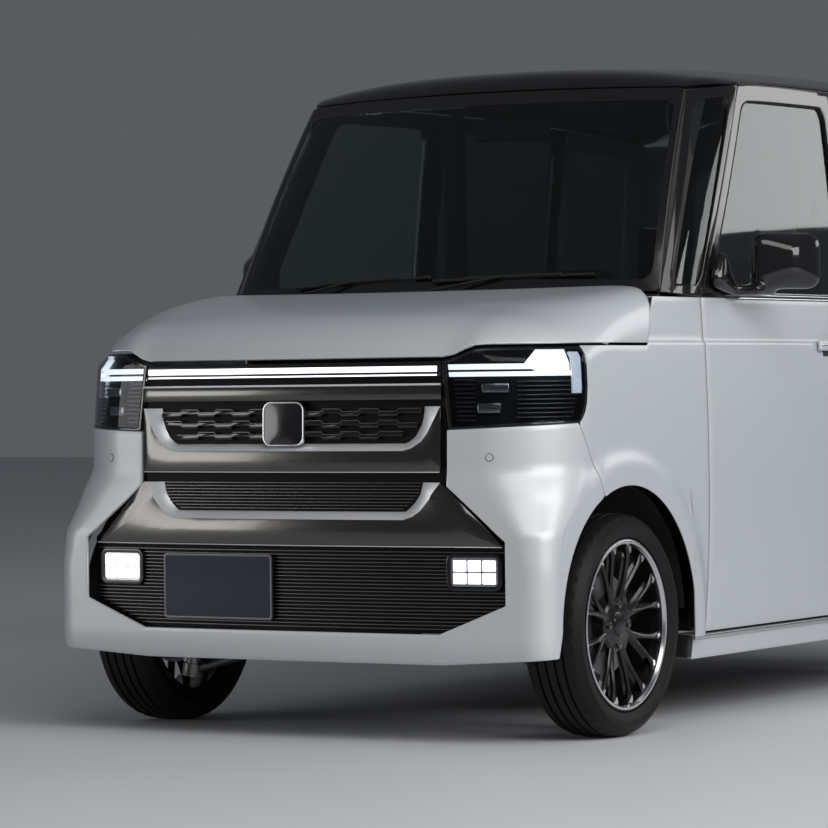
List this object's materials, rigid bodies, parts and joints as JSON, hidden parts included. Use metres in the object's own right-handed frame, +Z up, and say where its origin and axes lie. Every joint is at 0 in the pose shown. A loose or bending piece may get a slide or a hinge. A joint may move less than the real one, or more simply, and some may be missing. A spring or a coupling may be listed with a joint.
{
  "type": "kei car",
  "caption": "Tall one-box kei car with opening hood, front doors and tailgate, steered front wheels on knuckles, turning road wheels, glazed hollow cabin and seats.",
  "frame": {"origin": "on the ground under the middle of the car's length and width", "axes": "+Z up, +Y to the rear, +X to the car's left"},
  "size_m": [1.8106, 3.395, 1.7894],
  "materials": {
    "paint": "pearl",
    "black_gloss": "gloss",
    "black_plastic": "matte",
    "structure": "matte",
    "glass": "tinted",
    "dark_chrome": "bright",
    "lamp": "clear",
    "lamp_red": "gloss",
    "plate": "satin",
    "seat_cloth": "woven",
    "hand_grip": "satin",
    "metal": "cast",
    "rim": "machined",
    "tyre": "matte"
  },
  "bodies": {
    "body": {"floor_pan": "structure", "front_frame": "structure", "pillars": "black_gloss", "roof_panel": "black_gloss", "front_fenders": "paint", "rear_quarters": "paint", "sliding_doors": "paint", "side_sills": "paint", "cowl": "black_plastic", "front_bumper": "paint", "rear_bumper": "paint", "windscreen": "glass", "side_windows": "glass", "grille_panel": "black_plastic", "grille_bars": "dark_chrome", "headlamps": "lamp", "light_bar": "lamp", "fog_lamps": "lamp", "tail_lamps": "lamp_red", "front_plate": "plate", "wipers": "black_plastic", "dashboard": "black_plastic", "front_seats": "seat_cloth", "rear_seat": "seat_cloth", "engine_block": "metal", "lower_arms": "metal", "rear_axle": "metal", "fuel_tank": "black_plastic", "exhaust": "metal"},
    "hood_body": {"hood": "paint"},
    "door_left": {"front_door_left": "paint", "door_glass_left": "glass", "mirror_left": "black_gloss"},
    "door_right": {"front_door_right": "paint", "door_glass_right": "glass", "mirror_right": "black_gloss"},
    "gate": {"tailgate": "paint", "tailgate_glass": "glass"},
    "hand_wheel": {"steering_wheel": "hand_grip"},
    "steer_left_body": {"knuckle_left": "metal"},
    "steer_right_body": {"knuckle_right": "metal"},
    "wheel_front_left": {"rim_front_left": "rim", "tyre_front_left": "tyre"},
    "wheel_front_right": {"rim_front_right": "rim", "tyre_front_right": "tyre"},
    "wheel_rear_left": {"rim_rear_left": "rim", "tyre_rear_left": "tyre"},
    "wheel_rear_right": {"rim_rear_right": "rim", "tyre_rear_right": "tyre"}
  },
  "joints": [
    {"name": "hood_hinge", "type": "hinge", "parent": "body", "child": "hood_body", "pos_m": [0, -1.0425, 1.1], "axis": [-1, 0, 0], "range_deg": [0, 50]},
    {"name": "door_left_hinge", "type": "hinge", "parent": "body", "child": "door_left", "pos_m": [0.706, -0.7385, 0.43], "axis": [0, 0, -1], "range_deg": [0, 68]},
    {"name": "door_right_hinge", "type": "hinge", "parent": "body", "child": "door_right", "pos_m": [-0.706, -0.7385, 0.43], "axis": [0, 0, 1], "range_deg": [0, 68]},
    {"name": "tailgate_hinge", "type": "hinge", "parent": "body", "child": "gate", "pos_m": [0, 1.55506, 1.76912], "axis": [1, 0, 0], "range_deg": [0, 80]},
    {"name": "steer_left", "type": "hinge", "parent": "body", "child": "steer_left_body", "pos_m": [0.5955, -1.2425, 0.17], "axis": [-0.1386, 0, 0.9903], "range_deg": [-34, 34]},
    {"name": "steer_right", "type": "hinge", "parent": "body", "child": "steer_right_body", "pos_m": [-0.5955, -1.2425, 0.17], "axis": [0.1386, 0, 0.9903], "range_deg": [-34, 34]},
    {"name": "hand_wheel_turn", "type": "hinge", "parent": "body", "child": "hand_wheel", "pos_m": [-0.33, -0.4125, 0.973], "axis": [0, 0.9135, 0.4067], "range_deg": [-510, 510]},
    {"name": "spin_front_left", "type": "hinge", "parent": "steer_left_body", "child": "wheel_front_left", "pos_m": [0.6525, -1.2425, 0.281], "axis": [1, 0, 0], "continuous": true},
    {"name": "spin_front_right", "type": "hinge", "parent": "steer_right_body", "child": "wheel_front_right", "pos_m": [-0.6525, -1.2425, 0.281], "axis": [1, 0, 0], "continuous": true},
    {"name": "spin_rear_left", "type": "hinge", "parent": "body", "child": "wheel_rear_left", "pos_m": [0.6525, 1.2775, 0.281], "axis": [1, 0, 0], "continuous": true},
    {"name": "spin_rear_right", "type": "hinge", "parent": "body", "child": "wheel_rear_right", "pos_m": [-0.6525, 1.2775, 0.281], "axis": [1, 0, 0], "continuous": true}
  ],
  "couplings": [
    {"joint": "steer_right", "follows": "steer_left", "ratio": 1},
    {"joint": "hand_wheel_turn", "follows": "steer_left", "ratio": 15}
  ]
}
